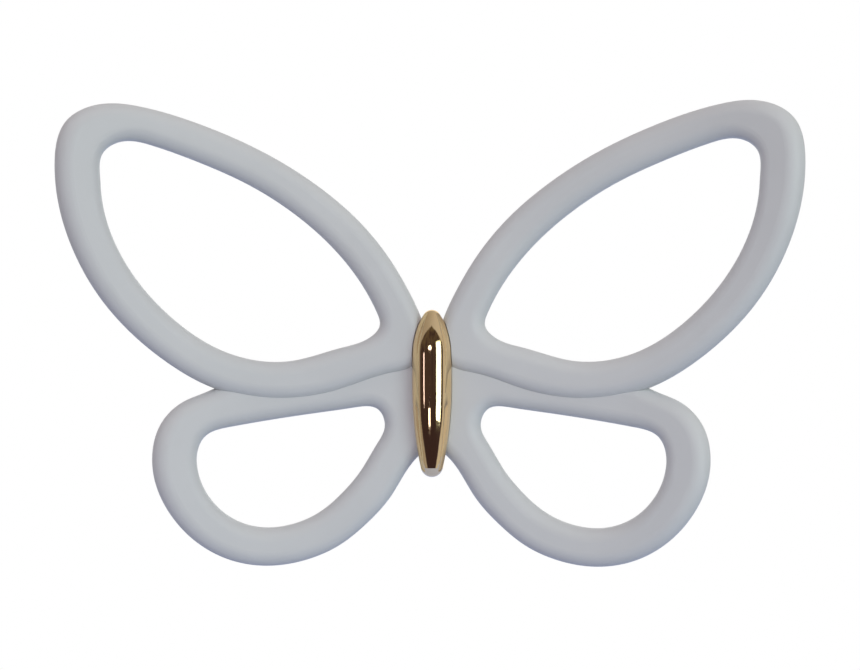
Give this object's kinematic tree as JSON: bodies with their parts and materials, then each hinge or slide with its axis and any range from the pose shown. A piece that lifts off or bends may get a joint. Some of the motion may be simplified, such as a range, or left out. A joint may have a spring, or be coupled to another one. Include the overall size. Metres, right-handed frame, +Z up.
{
  "type": "butterfly wall ornament",
  "caption": "Butterfly wall ornament: open loop wings that curve forward from the wall, white lacquer, and a polished spindle body; a keyhole slot in the back hangs it.",
  "frame": {"origin": "on the wall plane, straight behind the middle of the body", "axes": "+X the butterfly's right side as seen from the front, +Y into the wall, +Z up; the front faces -Y"},
  "size_m": [0.2392, 0.0453, 0.1503],
  "materials": {
    "wing_lacquer": "smooth cast resin with white satin lacquer",
    "gold_plate": "mirror-polished gold plate over cast metal",
    "spine_metal": "fine-cast and tumbled",
    "pin_steel": "drawn stainless bar",
    "insert_brass": "turned brass",
    "screw_steel": "zinc-plated machine screw"
  },
  "bodies": {
    "root": {"fore_wing_left": "wing_lacquer", "fore_wing_right": "wing_lacquer", "hind_wing_left": "wing_lacquer", "hind_wing_right": "wing_lacquer", "body": "gold_plate", "spine": "spine_metal", "wing_dowels": "pin_steel", "lap_pins": "pin_steel", "body_inserts": "insert_brass", "body_screws": "screw_steel"}
  },
  "joints": []
}
